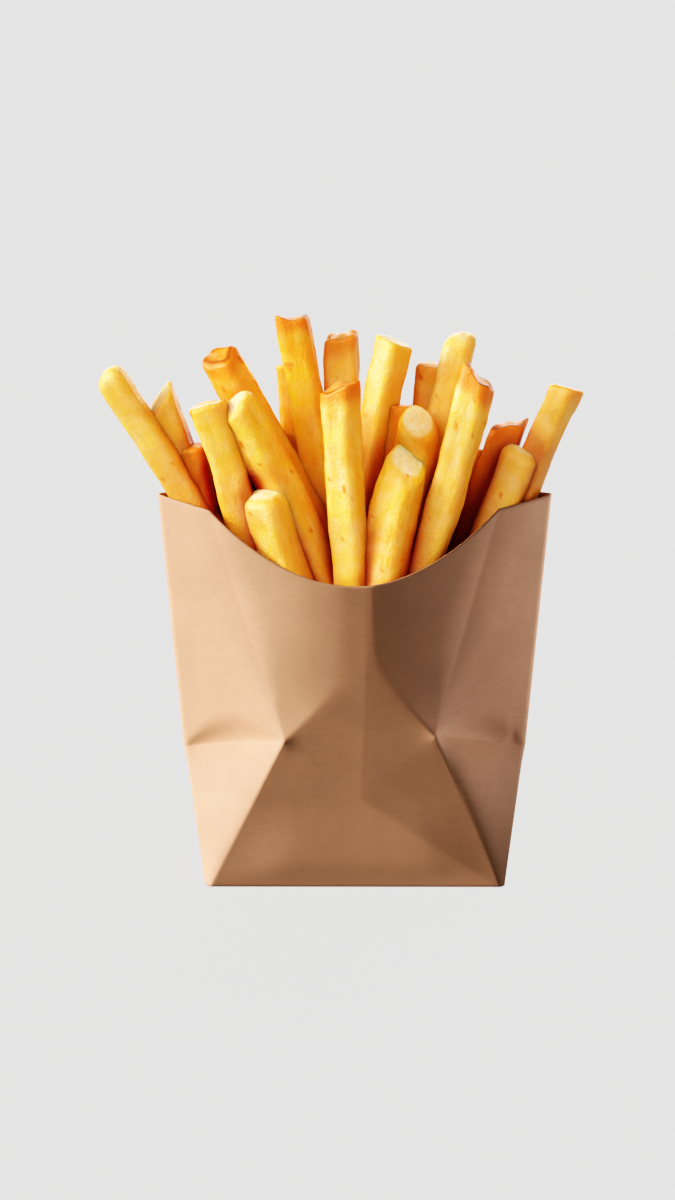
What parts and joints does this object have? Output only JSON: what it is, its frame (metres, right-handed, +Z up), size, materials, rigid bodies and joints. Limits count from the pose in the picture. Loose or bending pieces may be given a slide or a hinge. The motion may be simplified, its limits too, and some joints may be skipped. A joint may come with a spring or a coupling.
{
  "type": "french fries in a carton",
  "caption": "Thick-cut french fries standing in a folded kraft-paper carton with a scooped front and a flat base.",
  "frame": {"origin": "middle of the carton's flat base, on the floor", "axes": "+Z up, -Y towards the scooped front, X along the mouth's width"},
  "size_m": [0.1518, 0.0554, 0.1758],
  "materials": {
    "kraft_paper": "matt brown kraft paper, slightly creased",
    "fried_potato": "golden fried potato with a thin sheen of oil"
  },
  "bodies": {
    "root": {"carton": "kraft_paper", "fries": "fried_potato"}
  },
  "joints": []
}
